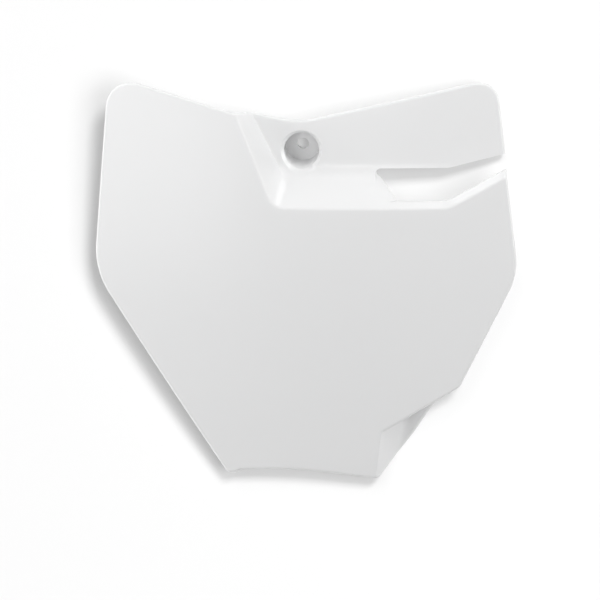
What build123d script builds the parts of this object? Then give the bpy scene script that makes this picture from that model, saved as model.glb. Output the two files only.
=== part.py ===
from build123d import *
from math import cos, degrees, radians, sin, sqrt, tan
import os

# Front number board of an off-road racing motorcycle: one injection moulding with a thin wall.
# Millimetres. The board is drawn in its panel's frame: X to the viewer's right, Y to the back, Z up,
# with the panel's most forward point at the origin. At the end it is moved so that the bolt lies
# along Y and the seat of the bolt's head is the origin.

# Moulded wall, and how much of it the rounding of the front edges takes
WALL = 2.8
EDGE_SHARE = 0.7
EDGE_R = EDGE_SHARE * WALL

# Curve of the panel seen from above, and from the side
BOW_R = 600.0
CAMBER_R = 1500.0

# Recess at the upper right: a ledge behind the panel's lip, and a floor that runs on as the flap
LIP_UP = 49.0
LIP_SOFTER = 0.8
LIP_R = EDGE_R + LIP_SOFTER
LEDGE_RISE = 19.5
RECESS_DEPTH = 18.0
LEFT_WALL_LOW_OUT = 14.3
LEFT_WALL_TOP_OUT = 38.2
LEFT_WALL_LOW_RUN = 14.2
LEFT_WALL_TOP_RUN = 7.2
CORNER_R = 15.0
FLOOR_R = 13.0
RAMP_START = 87.5
RAMP_ANGLE = 17.9
RAMP_R = 20.0
FLOOR_UP = LIP_UP + LEDGE_RISE

# Bolt boss on the recess floor, with a pocket for the bolt's head
BOLT_HOLE_D = 7.0
BOLT_TILT = 10.0
POCKET_D = 21.0
POCKET_DEPTH = 14.5
POCKET_LEAD = 1.8
POCKET_BELOW = 1.3
POCKET_ABOVE = 7.0
BOSS_WALL = 2.5
BOLT_UP = FLOOR_UP + POCKET_BELOW + POCKET_D / 2
RIB_T = 2.2
RIB_REACH = 28.0
RIB_SET_BACK = 3.0
RIB_FOOT_DROP = 13.0

# Outline: distances out, up and down from the panel's most forward point
VEE_LEFT = 2.0
VEE_UP = BOLT_UP + POCKET_D / 2 + POCKET_ABOVE
VEE_R = 45.0
SHOULDER_OUT = 34.5
SHOULDER_RISE = 5.6
SHOULDER_UP = VEE_UP + SHOULDER_RISE
SHOULDER_R = 30.0
LEFT_PEAK_OUT = 115.0
LEFT_PEAK_RISE = 28.2
LEFT_PEAK_UP = VEE_UP + LEFT_PEAK_RISE
LEFT_PEAK_R = 16.0
RIGHT_PEAK_OUT = 115.5
RIGHT_PEAK_RISE = 25.7
RIGHT_PEAK_UP = VEE_UP + RIGHT_PEAK_RISE
RIGHT_PEAK_R = 13.0
LEFT_SIDE_OUT = 124.5
LEFT_SIDE_UP = 7.5
LEFT_SIDE_R = 48.0
RIGHT_SIDE_OUT = 130.0
RIGHT_SIDE_UP = 8.5
RIGHT_SIDE_R = 38.0
FOOT_DOWN = 115.2
FOOT_OUT = 44.0
FOOT_WIDTH = 4.5
FOOT_STEP = 2.0
FOOT_STEP_RUN = 4.0
FOOT_SOFTER = 1.0
FOOT_R = EDGE_R + FOOT_SOFTER
ARCH_RISE = 1.6
ARCH_R = 250.0

# Hose slot between the flap and the panel's lip, open to the right
SLOT_LAND = 3.6
FLAP_LAND = 1.8
SLOT_END_OUT = 44.2
SLOT_END_DROP = 7.2
SLOT_END_RUN = 8.8
SLOT_END_DRAFT = 44.0
SLOT_END_R = 2.0
SLOT_R = 3.2
SLOT_BEND_R = 18.0
SLOT_RISE_ANGLE = 28.3
FLAP_BEND_R = 10.0
FLAP_RISE_ANGLE = 13.0
FLAP_START_SHARE = 0.2

# Hose hook at the lower right: a tongue pushed back behind the panel's notched corner
NOTCH_OUT = 96.0
NOTCH_DOWN = 60.5
NOTCH_ANGLE = 31.0
NOTCH_SOFTER = 2.0
NOTCH_R = EDGE_R + NOTCH_SOFTER
HOOK_OUT = 48.8
HOOK_DOWN = 92.0
HOOK_LEAN = 9.5
HOOK_WIDTH = 13.3
HOOK_DEPTH = 14.5
HOOK_RISE_ANGLE = 14.5
HOOK_R = 5.0
TONGUE_SET_IN = 13.0
TONGUE_FOOT_OUT = 47.3
TONGUE_FOOT_DROP = 2.3
TONGUE_BOW = 1.8
TONGUE_BOW_R = 120.0

# Holding lugs behind the lower edge
LUG_SPREAD = 48.0
LUG_DOWN = 102.0
LUG_W = 15.0
LUG_T = 3.0
LUG_LENGTH = 14.0
LUG_R = 4.0
LUG_BAR = 2.2
LUG_RIB_T = 2.2
LUG_RIB_LENGTH = 9.0

# Reach of the bodies that cut and trim, to the side and to the back
SPAN = RIGHT_SIDE_OUT + RECESS_DEPTH
DEEP = 90.0


def skin_y(out, up, back):
    """Depth of the panel's skin at a point seen from the front, with the skin moved back."""
    bow = BOW_R - sqrt((BOW_R - back) ** 2 - out ** 2)
    return CAMBER_R - sqrt((CAMBER_R - bow) ** 2 - up ** 2)


def ledge_y(out, up):
    """Depth of the recess's ledge at a point seen from the front."""
    return skin_y(out, LIP_UP, 0) + (up - LIP_UP) * RECESS_DEPTH / LEDGE_RISE


def turned(profile, axis, angle):
    """Turn a profile about an axis by an angle to either side."""
    return revolve(profile.rotate(axis, -angle), axis, 2 * angle)


def facing(points):
    """Closed outline seen from the front, from (out, up) points."""
    return make_face(Plane.XZ * Polyline(*points, close=True))


def rounded_facing(corners):
    """Closed outline seen from the front, from (out, up, corner radius) points."""
    points = [(out, up) for out, up, radius in corners]
    radii = [radius for out, up, radius in corners]
    return make_face(Plane.XZ * FilletPolyline(*points, radius=radii, close=True))


def edge_near(body, point):
    """The edge of a body that passes closest to a point."""
    return body.edges().sort_by_distance(point)[0]


def skin_mass(back, reach):
    """Everything behind the panel's skin, with the skin moved back, as far as a reach to each side."""
    end = skin_y(reach, 0, back)
    skin = ThreePointArc((-reach, end), (0, back), (reach, end))
    rest = Polyline(skin @ 1, (reach, 2 * DEEP), (-reach, 2 * DEEP), skin @ 0)
    camber = Axis((0, CAMBER_R, 0), (1, 0, 0))
    return turned(make_face(skin + rest), camber, degrees(reach / CAMBER_R))


def left_side(grow):
    """All that lies right of the recess's left wall, which leans more at its foot."""
    height = SHOULDER_UP - LIP_UP
    slope = (LEFT_WALL_TOP_OUT - LEFT_WALL_LOW_OUT) / height
    lean = (LEFT_WALL_TOP_RUN + LEFT_WALL_LOW_RUN) / 2 / RECESS_DEPTH
    shift = grow * sqrt(1 + slope ** 2 + lean ** 2)
    sections = []
    for depths in (-1, 2):
        top = LEFT_WALL_TOP_RUN * depths - LEFT_WALL_TOP_OUT - shift
        low = LEFT_WALL_LOW_RUN * depths - LEFT_WALL_LOW_OUT - shift
        step = (top - low) / height
        wall_top = (top + step * (2 * SPAN - SHOULDER_UP), 2 * SPAN)
        wall_low = (low - step * LIP_UP, 0)
        side = facing([wall_top, wall_low, (2 * SPAN, 0), (2 * SPAN, 2 * SPAN)])
        sections.append(Pos(Y=skin_y(0, SHOULDER_UP, 0) + RECESS_DEPTH * depths) * side)
    return loft(sections, ruled=True)


def ramp_side(grow):
    """All above the ramp on which the lip climbs to the right, as steep to the back as the ledge."""
    climb = tan(radians(RAMP_ANGLE))
    rise = LEDGE_RISE / (skin_y(0, FLOOR_UP, RECESS_DEPTH) - skin_y(0, LIP_UP, 0))
    drop = grow * sqrt(1 + climb ** 2 + rise ** 2)
    level = LIP_UP - rise * (DEEP + skin_y(RAMP_START, LIP_UP, 0)) - drop
    far = 2 * SPAN
    ramp_left = (-far, level - climb * (far + RAMP_START))
    ramp_right = (far, level + climb * (far - RAMP_START))
    ramp = Pos(Y=-DEEP) * facing([ramp_left, ramp_right, (far, 2 * far), (-far, 2 * far)])
    return extrude(ramp, 2 * far, dir=(0, 1, rise))


def flap_side():
    """All above a line low in the hose slot, where the flap has the recess's full depth."""
    start, bend, far = SLOT_END_OUT + SLOT_END_RUN, RAMP_START - RAMP_R / 2, 2 * SPAN
    low, mouth = [
        slot_low(out) + (slot_top(out) - slot_low(out)) * FLAP_START_SHARE
        for out in (bend, RIGHT_SIDE_OUT)
    ]
    right = (far, low + (mouth - low) * (far - bend) / (RIGHT_SIDE_OUT - bend))
    side = facing([(start, low), (bend, low), right, (far, 2 * far), (start, 2 * far)])
    return extrude(side, 2 * DEEP, both=True)


def recess_room(grow):
    """Room of the recess, from its floor and ledge forward, grown on every side."""
    lip = Vector(skin_y(0, LIP_UP, 0), LIP_UP)
    foot = Vector(skin_y(0, FLOOR_UP, RECESS_DEPTH), FLOOR_UP)
    ahead, behind = lip + (lip - foot) * 2, foot + (foot - lip) * 2
    top_ahead, top_behind = (ahead.X, 2 * SPAN), (behind.X, 2 * SPAN)
    above = make_face(Plane.YZ * Polyline(ahead, behind, top_behind, top_ahead, close=True))
    above = offset(above, grow, kind=Kind.INTERSECTION)
    above = turned(above, Axis((0, BOW_R, 0), (0, 0, 1)), degrees(2 * SPAN / BOW_R))
    room = above & left_side(grow) & ramp_side(grow)
    wall_corner = (LEFT_WALL_LOW_RUN / 2 - LEFT_WALL_LOW_OUT, (lip + foot).X / 2, (lip + foot).Y / 2)
    room = fillet(edge_near(room, wall_corner), CORNER_R + grow)
    ramp_bend = (RAMP_START, skin_y(RAMP_START, LIP_UP, 0), LIP_UP)
    room = fillet(edge_near(room, ramp_bend), RAMP_R + grow)
    room += above & flap_side()
    room -= skin_mass(RECESS_DEPTH + grow, 2 * SPAN)
    floor_foot = (SLOT_END_OUT / 2, foot.X + grow, FLOOR_UP)
    return fillet(edge_near(room, floor_foot), FLOOR_R + grow)


def notch_line(out):
    """Height of the panel's notched lower right edge at a distance out."""
    return (out - NOTCH_OUT) * tan(radians(NOTCH_ANGLE)) - NOTCH_DOWN


def hook_start():
    """A point of the panel's skin where it turns back into the hose hook."""
    return Vector(HOOK_OUT, skin_y(HOOK_OUT, HOOK_DOWN, 0), -HOOK_DOWN)


def hook_room(grow):
    """Room in front of the tongue of the hose hook, under the panel's notched edge."""
    lean = radians(HOOK_LEAN)
    across = Plane(hook_start(), x_dir=(cos(lean), 0, -sin(lean)), z_dir=(sin(lean), 0, cos(lean)))
    valley = Vector(HOOK_WIDTH, HOOK_DEPTH)
    far = HOOK_WIDTH + DEEP
    far_back = HOOK_DEPTH - tan(radians(HOOK_RISE_ANGLE)) * DEEP
    vee = make_face(Polyline(valley * -2, valley, (far, far_back), (far, -2 * DEEP), close=True))
    vee = fillet(vee.vertices().sort_by_distance(valley)[0], HOOK_R)
    vee = across * offset(vee, grow, kind=Kind.INTERSECTION)
    left, right = (-SPAN, notch_line(-SPAN)), (SPAN, notch_line(SPAN))
    below = facing([left, right, (SPAN, -2 * SPAN), (-SPAN, -2 * SPAN)])
    return extrude(vee, SPAN, both=True) & extrude(below, 2 * DEEP, both=True)


def slot_low(out):
    """Height of the slot's lower edge, a narrow land above the lip that climbs with the ramp."""
    return LIP_UP + SLOT_LAND + max(out - RAMP_START, 0) * tan(radians(SLOT_RISE_ANGLE))


def slot_top(out):
    """Height of the flap's lower edge, in the rounding at the floor's foot and then climbing."""
    return FLOOR_UP + FLAP_LAND + max(out - RAMP_START, 0) * tan(radians(FLAP_RISE_ANGLE))


def slot():
    """The hose slot, running out past the right edge, with a left end that slopes to the back."""
    past = RIGHT_SIDE_OUT + WALL
    end_low = SLOT_END_OUT + SLOT_END_RUN
    end_top = slot_top(SLOT_END_OUT) - SLOT_END_DROP
    seen = rounded_facing([
        (SLOT_END_OUT, slot_top(SLOT_END_OUT), SLOT_R),
        (RAMP_START, slot_top(RAMP_START), FLAP_BEND_R),
        (past, slot_top(past), 0),
        (past, slot_low(past), 0),
        (RAMP_START, slot_low(RAMP_START), SLOT_BEND_R),
        (SLOT_END_OUT, slot_low(SLOT_END_OUT), 0),
    ])
    top = Vector(SLOT_END_OUT, ledge_y(SLOT_END_OUT, end_top), end_top)
    low = Vector(end_low, ledge_y(end_low, slot_low(end_low)), slot_low(end_low))
    draft = Vector(tan(radians(SLOT_END_DRAFT)), 1, 0)
    end = Plane(top, x_dir=low - top, z_dir=(low - top).cross(draft))
    body = extrude(seen, DEEP, both=True) & extrude(end * Rectangle(4 * SPAN, 4 * SPAN), 4 * SPAN)
    corner = (SLOT_END_OUT, -DEEP / 2, slot_low(SLOT_END_OUT))
    return fillet([edge_near(body, place) for place in (top, low, corner)], SLOT_END_R)


def outline():
    """The board seen from the front."""
    tongue = Vector(NOTCH_OUT - TONGUE_SET_IN, notch_line(NOTCH_OUT - TONGUE_SET_IN))
    tongue_foot = Vector(TONGUE_FOOT_OUT, -FOOT_DOWN - TONGUE_FOOT_DROP)
    edge = (tongue_foot - tongue).normalized()
    bow = (tongue + tongue_foot) / 2 + Vector(-edge.Y, edge.X) * TONGUE_BOW
    foot_inner = FOOT_OUT - FOOT_WIDTH
    arch_end = FOOT_DOWN - FOOT_STEP
    return rounded_facing([
        (-LEFT_PEAK_OUT, LEFT_PEAK_UP, LEFT_PEAK_R),
        (-SHOULDER_OUT, SHOULDER_UP, SHOULDER_R),
        (-VEE_LEFT, VEE_UP, VEE_R),
        (RIGHT_PEAK_OUT, RIGHT_PEAK_UP, RIGHT_PEAK_R),
        (RIGHT_SIDE_OUT, RIGHT_SIDE_UP, RIGHT_SIDE_R),
        (NOTCH_OUT, -NOTCH_DOWN, NOTCH_R),
        (tongue.X, tongue.Y, 0),
        (bow.X, bow.Y, TONGUE_BOW_R),
        (tongue_foot.X, tongue_foot.Y, FOOT_R),
        (0, ARCH_RISE - arch_end, ARCH_R),
        (FOOT_STEP_RUN - foot_inner, -arch_end, FOOT_R),
        (-foot_inner, -FOOT_DOWN, FOOT_R),
        (-FOOT_OUT, -FOOT_DOWN, FOOT_R),
        (-LEFT_SIDE_OUT, LEFT_SIDE_UP, LEFT_SIDE_R),
    ])


def bolt_plane():
    """Plane of the seat of the bolt's head, with its normal along the bolt to the back."""
    tilt = radians(BOLT_TILT)
    axis = Vector(0, cos(tilt), sin(tilt))
    mouth = Vector(0, skin_y(0, BOLT_UP, RECESS_DEPTH), BOLT_UP)
    return Plane(mouth + axis * POCKET_DEPTH, x_dir=(1, 0, 0), z_dir=axis)


def on_front_rim(point, seen):
    """Whether a point lies on the outline seen from the front, and not at the block's back."""
    return point.Y < DEEP / 2 and seen.wire().distance_to(Vector(point.X, 0, point.Z)) < EDGE_R


def front_block():
    """The board's front as a thick block: skin, recess, hook, rounded edges and bolt pocket."""
    mass = skin_mass(0, SPAN) - recess_room(0)
    lip_out = SLOT_END_OUT / 2
    mass = fillet(edge_near(mass, (lip_out, skin_y(lip_out, LIP_UP, 0), LIP_UP)), LIP_R)
    mass -= hook_room(0)
    seen = outline()
    block = (mass & extrude(seen, DEEP - 2 * WALL, both=True)) - slot()
    rim = block.edges().filter_by(lambda edge: on_front_rim(edge @ 0.5, seen))
    block = fillet(rim + [edge_near(block, hook_start())], EDGE_R)
    pocket = extrude(bolt_plane() * Circle(POCKET_D / 2), -DEEP)
    pocketed = block - pocket
    return chamfer(new_edges(block, pocket, combined=pocketed), POCKET_LEAD)


def boss():
    """Rear boss round the bolt pocket, with a rib to each side and one down to the panel."""
    seat = bolt_plane()
    tube = extrude(seat.offset(WALL) * Circle(POCKET_D / 2 + BOSS_WALL), -DEEP)
    top = WALL - RIB_SET_BACK
    low = WALL / 2 - POCKET_DEPTH
    right, left = (RIB_REACH, low), (-RIB_REACH, low)
    ribs = make_face(Polyline((0, top), right, (RIB_REACH, -DEEP), (-RIB_REACH, -DEEP), left, close=True))
    ribs = extrude(Plane(seat.origin, x_dir=(1, 0, 0), z_dir=-seat.y_dir) * ribs, RIB_T / 2, both=True)
    crown = seat.origin + seat.z_dir * top
    foot_up = LIP_UP - RIB_FOOT_DROP
    foot = (skin_y(0, foot_up, WALL), foot_up)
    web = make_face(Plane.YZ * Polyline((crown.Y, crown.Z), foot, (0, foot_up), (0, crown.Z), close=True))
    return tube + ribs + extrude(web, RIB_T / 2, both=True)


def lugs():
    """Holding lugs that slip into the mudguard along the bolt, each with a rib, on one bar in the wall."""
    middle = LUG_SPREAD / 2
    root = Vector(0, skin_y(middle, LUG_DOWN, WALL), -LUG_DOWN)
    level = Plane(root, x_dir=(1, 0, 0), z_dir=-bolt_plane().y_dir)
    start = -WALL / 2
    tab = Pos(Y=(start + LUG_LENGTH) / 2) * Rectangle(LUG_W, LUG_LENGTH - start)
    tab = fillet(tab.vertices().group_by(Axis.Y)[-1], LUG_R)
    bar = Pos(Y=(start + LUG_BAR) / 2) * Rectangle(LUG_SPREAD, LUG_BAR - start)
    foot, top = (start, 0), (start, LUG_RIB_LENGTH)
    rib = make_face(Plane.YZ * Polyline(foot, (LUG_RIB_LENGTH, 0), (0, LUG_RIB_LENGTH), top, close=True))
    rib = extrude(rib, LUG_RIB_T / 2, both=True)
    body = extrude(Pos(X=-middle) * tab + bar + Pos(X=middle) * tab, LUG_T / 2, both=True)
    return level * (body + Pos(X=-middle) * rib + Pos(X=middle) * rib)


def number_board():
    """The whole moulding, moved to the bolt's own frame."""
    front = front_block()
    back = skin_mass(WALL, SPAN) - recess_room(WALL) - hook_room(WALL)
    board = front - back + (front & boss()) + lugs()
    seat = bolt_plane()
    board -= extrude(seat * Circle(BOLT_HOLE_D / 2), DEEP, both=True)
    return Plane(seat.origin, x_dir=(1, 0, 0), z_dir=-seat.y_dir).to_local_coords(board)


os.makedirs("parts", exist_ok=True)
export_step(number_board(), "parts/number_board.step")
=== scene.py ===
# %% [markdown]
# A front number board for an off-road racing motorcycle
#
# The board is one injection moulding of white polypropylene, so the scene has one piece to dress and
# a small studio round it. The solid model gives the shape, and only one crease is made crisper here.
# This script gives the plastic its finish, sets up the camera of the photograph, and lays the board
# against a white sheet.

# %% Load the solid model
import math

import bmesh
import bpy
from mathutils import Matrix, Vector


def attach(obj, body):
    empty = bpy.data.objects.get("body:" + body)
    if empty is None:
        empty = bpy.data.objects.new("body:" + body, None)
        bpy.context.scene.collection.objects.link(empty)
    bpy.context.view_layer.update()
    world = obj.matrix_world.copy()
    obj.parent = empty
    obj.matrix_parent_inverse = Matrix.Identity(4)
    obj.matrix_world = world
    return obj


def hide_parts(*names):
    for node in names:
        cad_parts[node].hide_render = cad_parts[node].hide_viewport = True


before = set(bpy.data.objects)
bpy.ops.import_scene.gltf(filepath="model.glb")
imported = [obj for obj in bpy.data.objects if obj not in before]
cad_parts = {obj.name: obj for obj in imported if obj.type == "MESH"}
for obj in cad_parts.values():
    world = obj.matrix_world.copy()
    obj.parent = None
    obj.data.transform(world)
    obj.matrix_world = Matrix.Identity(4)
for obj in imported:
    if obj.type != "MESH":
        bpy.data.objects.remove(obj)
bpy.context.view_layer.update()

print("nodes:", sorted(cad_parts))

# %% [markdown]
# The moulding
#
# A mesh made from a solid model is loose triangles, one patch for each face of the solid, so its
# light breaks at every patch. The real board has soft rounded edges that run into the panel without
# a line. A subdivision would round it too, but it would also move the surface. Here a copy of the
# mesh has its patches joined, so that it can be shaded as one skin.

# %% Join the patches
SAME_SPOT, NO_LENGTH = 2e-6, 1e-7


def joined_copy(node, name):
    """A copy of a node's mesh with its patches joined, as a new piece."""
    mesh = node.data.copy()
    mesh.name = name
    work = bmesh.new()
    work.from_mesh(mesh)
    bmesh.ops.remove_doubles(work, verts=work.verts, dist=SAME_SPOT)
    bmesh.ops.dissolve_degenerate(work, edges=work.edges, dist=NO_LENGTH)
    work.to_mesh(mesh)
    work.free()
    piece = bpy.data.objects.new(name, mesh)
    bpy.context.scene.collection.objects.link(piece)
    return piece


board = joined_copy(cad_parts["number_board"], "moulded_board")
print("joined:", len(board.data.vertices), "corners,", len(board.data.polygons), "faces")

# %% [markdown]
# A crisp crease in the recess
#
# The recess's left wall meets its floor in a crisp crease, but the solid model has the same soft
# rounding there as along its ledge. The rounding could be cut out and the two faces drawn again, but
# it is easier to keep the mesh and push its corners straight back, as far as the old rounding and a
# tighter one differ there. Places are measured in the panel's own upright frame: LEAN turns it into
# the frame of the solid model, and APEX is the panel's most forward point.

# %% Measure from the crease
LEAN = Matrix.Rotation(math.radians(-10.0), 3, "X")
APEX = Vector((0.0, -0.04831, -0.07558))
CREASE_LOW, CREASE_TOP = Vector((-0.0095, 0.0194, 0.063)), Vector((-0.0288, 0.0221, 0.100))
CREASE_RUN = CREASE_TOP - CREASE_LOW
FROM_WALL = Vector((CREASE_RUN.z, 0, -CREASE_RUN.x)).normalized()
FOLD_LOW, FOLD_TOP = math.radians(58), math.radians(70)
SOFT_R, CRISP_R = 0.013, 0.0006
NEAR_ACROSS = 1.2 * SOFT_R
NEAR_FRONT, NEAR_BACK = -0.012, 0.005
NEAR_LOW, NEAR_TOP = -0.3, 1.4


def filling(across, fold, radius):
    """How far a rounding fills the corner of floor and wall, at a distance across from the crease."""
    reach = radius * math.tan(fold / 2)
    if not -reach * math.cos(fold) < across < reach:
        return 0.0
    return radius - math.sqrt(radius ** 2 - (reach - across) ** 2) - max(0.0, -across * math.tan(fold))


def by_crease(corner):
    """Distance across from the crease, depth behind it and share of its length, for a corner."""
    spot = LEAN.transposed() @ (corner.co - APEX) - CREASE_LOW
    share = spot.z / CREASE_RUN.z
    return spot.dot(FROM_WALL), spot.y - CREASE_RUN.y * share, share


def near_crease(corner):
    """Whether a corner is on the stretch of wall and floor beside the crease."""
    across, depth, share = by_crease(corner)
    return (abs(across) < NEAR_ACROSS and NEAR_FRONT < depth < NEAR_BACK
            and NEAR_LOW < share < NEAR_TOP)


print("crease:", round(1000 * CREASE_RUN.length, 1), "mm long")

# %% [markdown]
# A mesh bends only along its edges, so it is first cut along the crease and close beside it. Front
# and back of the wall are pushed alike, so the wall stays as thick as it was. Seen straight on no
# corner moves, so the outline stays too. The push fades out where the wall turns into the ledge.

# %% Cut along the crease and push it back
CUTS = (-0.0003, 0.0, 0.0005)
CUT_SNAP = 1e-5
FADE_SHARE = 0.25
work = bmesh.new()
work.from_mesh(board.data)
for cut in CUTS:
    faces = [face for face in work.faces if any(near_crease(corner) for corner in face.verts)]
    rims = dict.fromkeys(part for face in faces for part in (*face.verts, *face.edges))
    bmesh.ops.bisect_plane(work, geom=[*faces, *rims], dist=CUT_SNAP, plane_no=LEAN @ FROM_WALL,
                           plane_co=APEX + LEAN @ (CREASE_LOW + FROM_WALL * cut))
bmesh.ops.dissolve_degenerate(work, edges=work.edges, dist=NO_LENGTH)
pushes = []
for corner in filter(near_crease, work.verts):
    across, _, share = by_crease(corner)
    fold = FOLD_LOW + (FOLD_TOP - FOLD_LOW) * share
    fade = min(max(share / FADE_SHARE, 0.0), 1.0)
    push = filling(across, fold, SOFT_R) - filling(across, fold, CRISP_R)
    pushes.append(push * fade * fade * (3 - 2 * fade))
    corner.co += LEAN @ Vector((0, pushes[-1], 0))
work.to_mesh(board.data)
work.free()
print("pushed back at the crease:", sum(push > 0 for push in pushes), "corners, by up to",
      round(1000 * max(pushes), 2), "mm")

# %% [markdown]
# The corners of the mesh take their direction mostly from the largest faces beside them. That keeps
# the panel smooth up to its rounded edges, while edges that are really sharp stay sharp.

# %% Shade the board as one skin
SHARP_ANGLE = math.radians(35)
if board.data.attributes.get("custom_normal"):
    board.data.attributes.remove(board.data.attributes["custom_normal"])
board.data.shade_smooth()
board.data.set_sharp_from_angle(angle=SHARP_ANGLE)
even = board.modifiers.new("even_shading", "WEIGHTED_NORMAL")
even.mode = "FACE_AREA"
even.weight = 50
even.keep_sharp = True
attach(board, "root")
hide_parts("number_board")
print("board:", len(board.data.vertices), "corners,", len(board.data.polygons), "faces")

# %% [markdown]
# Writing a material as sums
#
# A material is a net of small nodes. Sums are easier to read as Python, so this class wraps one
# socket: adding, taking away or multiplying two of them adds a Math node, and `add` makes any other
# node.

# %% A socket that can be used in sums
class Wire:
    """One socket of a material's node tree, for use in Python expressions."""

    def __init__(self, tree, socket=None):
        self.tree = tree
        self.socket = socket

    def add(self, kind, settings=None, inputs=None, output=0):
        """Add a node, set it up, fill or link its sockets, and return one of its outputs."""
        node = self.tree.nodes.new(kind)
        for name, value in (settings or {}).items():
            setattr(node, name, value)
        for name, value in (inputs or {}).items():
            if isinstance(value, Wire):
                self.tree.links.new(value.socket, node.inputs[name])
            else:
                node.inputs[name].default_value = value
        return Wire(self.tree, node.outputs[output])

    def sum_node(self, operation, first, second):
        """Add a Math node on two values or wires."""
        return self.add("ShaderNodeMath", {"operation": operation}, {0: first, 1: second})

    def __add__(self, other):
        return self.sum_node("ADD", self, other)

    def __sub__(self, other):
        return self.sum_node("SUBTRACT", self, other)

    def __rsub__(self, other):
        return self.sum_node("SUBTRACT", other, self)

    def __mul__(self, other):
        return self.sum_node("MULTIPLY", self, other)

    __radd__ = __add__
    __rmul__ = __mul__


def new_material(name):
    """An empty material, with the wire that starts its nodes and its output node."""
    material = bpy.data.materials.new(name)
    material.use_nodes = True
    material.node_tree.nodes.clear()
    output = material.node_tree.nodes.new("ShaderNodeOutputMaterial")
    return material, Wire(material.node_tree), output


# %% [markdown]
# White polypropylene
#
# The front comes from a polished side of the mould and has a satin sheen. The back comes from the
# plain side: it is duller, with a fine grain. The object's own normal says which side a spot is on,
# so one material does both. A painted mask would do that too, but it would need a map of its own.
# The white is not quite even, because the melt cools at different speeds.

# %% Front or back, and an almost even white
WHITE_LOW, WHITE_HIGH = (0.845, 0.847, 0.850, 1), (0.872, 0.873, 0.874, 1)
MIX_FIRST, MIX_SECOND, MIX_COLOUR = 6, 7, 2
material, wire, output = new_material("white_polypropylene")
place = wire.add("ShaderNodeTexCoord", output="Object")
normal = wire.add("ShaderNodeTexCoord", output="Normal")
facing = wire.add("ShaderNodeSeparateXYZ", inputs={"Vector": normal}, output="Y")
back = wire.add("ShaderNodeMapRange", {"interpolation_type": "SMOOTHSTEP"}, {
    "Value": facing, "From Min": 0.05, "From Max": 0.6, "To Min": 0.0, "To Max": 1.0})


def noise(scale, detail, roughness):
    """A cloudy pattern on the object's own coordinates."""
    return wire.add("ShaderNodeTexNoise", inputs={
        "Vector": place, "Scale": scale, "Detail": detail, "Roughness": roughness})


cloud = noise(scale=9.0, detail=3.0, roughness=0.5)
white = wire.add("ShaderNodeMix", {"data_type": "RGBA"}, {
    "Factor": cloud, MIX_FIRST: WHITE_LOW, MIX_SECOND: WHITE_HIGH}, output=MIX_COLOUR)
print("white from", WHITE_LOW[:3], "to", WHITE_HIGH[:3])

# %% Satin front and dull back
SATIN, DULLER, SWIRL_DEPTH, GRAIN_DEPTH = 0.25, 0.22, 0.05, 0.04
FRONT_GRAIN = 0.15
grain = noise(scale=1600.0, detail=2.0, roughness=0.6)
swirl = noise(scale=38.0, detail=4.0, roughness=0.55)
sheen = SATIN + SWIRL_DEPTH * (swirl - 0.5) + DULLER * back + GRAIN_DEPTH * (grain - 0.5)
relief = grain * (FRONT_GRAIN + (1 - FRONT_GRAIN) * back)
skin = wire.add("ShaderNodeBump", inputs={"Strength": 0.08, "Distance": 0.00012, "Height": relief})

plastic = wire.add("ShaderNodeBsdfPrincipled", inputs={
    "Base Color": white, "Roughness": sheen, "Normal": skin, "IOR": 1.49})
material.node_tree.links.new(plastic.socket, output.inputs["Surface"])
for piece in (board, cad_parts["number_board"]):
    piece.data.materials.clear()
    piece.data.materials.append(material)
print("material:", material.name, "with", len(material.node_tree.nodes), "nodes")

# %% [markdown]
# The camera
#
# The photograph looks at the panel from a little above and a little to the right, from far enough
# away that parallel edges stay nearly parallel. The panel leans back against its bolt, so the camera
# is set in the panel's own upright frame and then leaned with it. A long lens and a small shift
# frame it.

# %% Place the camera
PHOTO_SIZE = 600


def from_panel(side, up):
    """Direction towards a viewer at these angles to the right of the panel's middle and above it."""
    turn, rise = math.radians(side), math.radians(up)
    out = Vector((math.sin(turn) * math.cos(rise), -math.cos(turn) * math.cos(rise), math.sin(rise)))
    return LEAN @ out


def looking(side, up, far):
    """Matrix of a camera or lamp this far from the panel that looks at its most forward point."""
    back_way, right_way = from_panel(side, up), from_panel(side + 90, 0)
    turned = Matrix((right_way, back_way.cross(right_way), back_way)).transposed()
    return Matrix.Translation(APEX + back_way * far) @ turned.to_4x4()


camera = bpy.data.objects.new("camera", bpy.data.cameras.new("camera"))
bpy.context.scene.collection.objects.link(camera)
camera.matrix_world = looking(side=4, up=12, far=1.8)
camera.data.sensor_width = 36
camera.data.lens = 181.5
camera.data.shift_x = 1 / PHOTO_SIZE
camera.data.shift_y = -10 / PHOTO_SIZE
camera.data.clip_end = 20
bpy.context.scene.camera = camera
print("camera at", tuple(round(v, 3) for v in camera.matrix_world.translation))

# %% [markdown]
# The white sheet
#
# The board lies back on a white sheet, on its boss and its lower lugs, which is why its shadow is so
# close. Below the board the sheet bends forward and becomes the floor. A wall and a floor would do,
# but the line where they meet would show. The sheet starts as one edge, which is extruded down the
# sheet, round the bend and along the floor.

# %% Extrude the sheet
SHEET_LEAN = math.radians(16.2)
SHEET_REST = Vector((0, 0.0036, -0.0127))
ABOVE_REST, SHEET_LONG, FLOOR_LONG, HALF_WIDE = 0.75, 1.05, 1.2, 0.9
BEND_STEPS, BEND_R = 16, 0.2
LEVEL = math.radians(90)


def down_way(angle):
    """Direction at this angle from straight down towards the front."""
    return Vector((0, -math.sin(angle), -math.cos(angle)))


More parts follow.
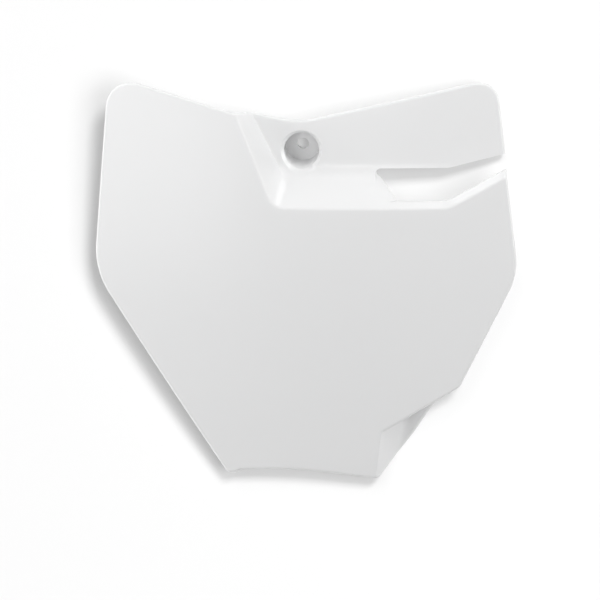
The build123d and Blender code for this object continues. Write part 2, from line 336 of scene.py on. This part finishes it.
bend = LEVEL - SHEET_LEAN
steps = [down_way(SHEET_LEAN) * SHEET_LONG]
steps += [down_way(SHEET_LEAN + bend * (i + 0.5) / BEND_STEPS) * BEND_R * bend / BEND_STEPS
          for i in range(BEND_STEPS)]
steps += [down_way(LEVEL) * FLOOR_LONG]
top = SHEET_REST - down_way(SHEET_LEAN) * ABOVE_REST
work = bmesh.new()
edge = work.edges.new([work.verts.new(top + Vector((x, 0, 0))) for x in (-HALF_WIDE, HALF_WIDE)])
for step in steps:
    grown = bmesh.ops.extrude_edge_only(work, edges=[edge])["geom"]
    edge = next(part for part in grown if isinstance(part, bmesh.types.BMEdge))
    bmesh.ops.translate(work, verts=edge.verts, vec=step)
work.faces.ensure_lookup_table()
work.normal_update()
if work.faces[0].normal.y > 0:
    bmesh.ops.reverse_faces(work, faces=work.faces)
sheet_mesh = bpy.data.meshes.new("white_sheet")
work.to_mesh(sheet_mesh)
work.free()
sheet_mesh.shade_smooth()
sheet = bpy.data.objects.new("white_sheet", sheet_mesh)
bpy.context.scene.collection.objects.link(sheet)
print("sheet floor at", round(min(v.co.z for v in sheet_mesh.vertices), 3))

# %% [markdown]
# The sheet is matt paper under strong lamps of its own. Its colour is a quiet one, so that little of
# the board's light comes back out of the board's own shadow. What the camera sees gets a glow on top,
# so that the sheet is pure white where no shadow falls, as in the photograph, without more light on
# the board. From behind, the sheet lets the view and the light through, so that the back of the board
# can be seen as well.

# %% Finish the sheet
SHEET_WHITE, SHEET_GLOW = 0.35, 0.28
material, wire, output = new_material("sheet_paper")
path = {name: wire.add("ShaderNodeLightPath", output=name)
        for name in ("Is Camera Ray", "Is Glossy Ray", "Is Transmission Ray", "Is Shadow Ray")}
seen = path["Is Camera Ray"] + path["Is Glossy Ray"] + path["Is Transmission Ray"]
behind = wire.add("ShaderNodeNewGeometry", output="Backfacing")
paper = wire.add("ShaderNodeBsdfDiffuse", inputs={"Color": (SHEET_WHITE, SHEET_WHITE, SHEET_WHITE, 1)})
glow = wire.add("ShaderNodeEmission", inputs={"Color": (1, 1, 1, 1), "Strength": SHEET_GLOW * seen})
lit = wire.add("ShaderNodeAddShader", inputs={0: paper, 1: glow})
clear = wire.add("ShaderNodeBsdfTransparent")
hidden = wire.sum_node("MAXIMUM", behind, path["Is Shadow Ray"])
surface = wire.add("ShaderNodeMixShader", inputs={0: hidden, 1: lit, 2: clear})
material.node_tree.links.new(surface.socket, output.inputs["Surface"])
sheet.data.materials.append(material)
print("material:", material.name, "with", len(material.node_tree.nodes), "nodes")

# %% [markdown]
# Light
#
# A studio lights the board and the sheet behind it apart, so that the sheet stays white and still
# takes a soft shadow. Blender's light linking does that with a collection for each: a lamp lights
# only what is in its own collection.

# %% A softbox that lights one set of pieces
def lit_set(name, pieces):
    """A collection of the pieces that a set of lamps lights."""
    pieces_lit = bpy.data.collections.new(name)
    for piece in pieces:
        pieces_lit.objects.link(piece)
    return pieces_lit


def softbox(name, lights, side, up, far, size, power, mirrored=True):
    """An area lamp that looks at the panel, lights one set of pieces and may be mirrored in them."""
    lamp = bpy.data.lights.new(name, "AREA")
    lamp.shape = "RECTANGLE"
    lamp.size, lamp.size_y = size
    lamp.energy = power
    box = bpy.data.objects.new(name, lamp)
    box.matrix_world = looking(side, up, far)
    box.light_linking.receiver_collection = lights
    box.visible_glossy = mirrored
    bpy.context.scene.collection.objects.link(box)
    print(name, power, "W at", tuple(round(v, 2) for v in box.matrix_world.translation))


board_lit = lit_set("board_lit", [board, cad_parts["number_board"]])
sheet_lit = lit_set("sheet_lit", [sheet])

# %% [markdown]
# The board has softboxes round its front, a narrow one on the right for the bright line along its
# lip, and two behind it for its back. Their level is plain: a colour renders about as it is written.
# The broad one on the left isn't mirrored in the plastic, because seen from the right its reflection
# would turn the panel plain white. The two behind aren't either: they would pale the dull back a
# little.

# %% Hang the board's softboxes
softbox("upper_left_box", board_lit, side=-50, up=58, far=1.3, size=(0.6, 0.6), power=4.3)
softbox("upper_right_box", board_lit, side=50, up=58, far=1.3, size=(0.6, 0.6), power=4.4)
softbox("left_box", board_lit, side=-80, up=5, far=1.5, size=(1.3, 1.3), power=13.5,
        mirrored=False)
softbox("right_box", board_lit, side=78, up=15, far=1.4, size=(0.15, 1.0), power=6.4)
softbox("front_box", board_lit, side=-27, up=4, far=1.8, size=(0.8, 0.8), power=4.5)
softbox("camera_box", board_lit, side=4, up=14, far=1.9, size=(0.6, 0.6), power=3.9)
softbox("rear_left_box", board_lit, side=-140, up=5, far=1.5, size=(0.9, 0.9), power=6.2,
        mirrored=False)
softbox("rear_right_box", board_lit, side=140, up=5, far=1.5, size=(0.9, 0.9), power=5.8,
        mirrored=False)

# %% [markdown]
# The sheet has a key lamp above the camera's right shoulder, which throws the shadow down to the
# left, and two broad lamps that soften it. They hang far away, so that the sheet is even.

# %% Hang the sheet's lamps
softbox("sheet_key", sheet_lit, side=22, up=34, far=6.4, size=(1.7, 1.7), power=450)
softbox("sheet_low", sheet_lit, side=30, up=5, far=6.4, size=(3.2, 3.2), power=330)
softbox("sheet_broad", sheet_lit, side=-20, up=40, far=6.4, size=(4.0, 4.0), power=150)

# %% [markdown]
# The room round the studio is pale. A room that shone at full white would wash out every shadow, so
# it lights the board only weakly. The camera and the plastic's reflections still see it pure white.

# %% Light the surroundings
AROUND = 0.18
world = bpy.data.worlds.new("pale_room")
world.use_nodes = True
world.node_tree.nodes.clear()
wire = Wire(world.node_tree)
path = [wire.add("ShaderNodeLightPath", output=name)
        for name in ("Is Camera Ray", "Is Glossy Ray", "Is Transmission Ray")]
seen = wire.sum_node("MINIMUM", path[0] + path[1] + path[2], 1.0)
room = wire.add("ShaderNodeBackground", inputs={
    "Color": (1, 1, 1, 1), "Strength": AROUND + (1 - AROUND) * seen})
ending = world.node_tree.nodes.new("ShaderNodeOutputWorld")
world.node_tree.links.new(room.socket, ending.inputs["Surface"])
bpy.context.scene.world = world
bpy.context.scene.view_settings.view_transform = "Standard"
print("lamps:", len(bpy.data.lights), "surroundings:", AROUND)
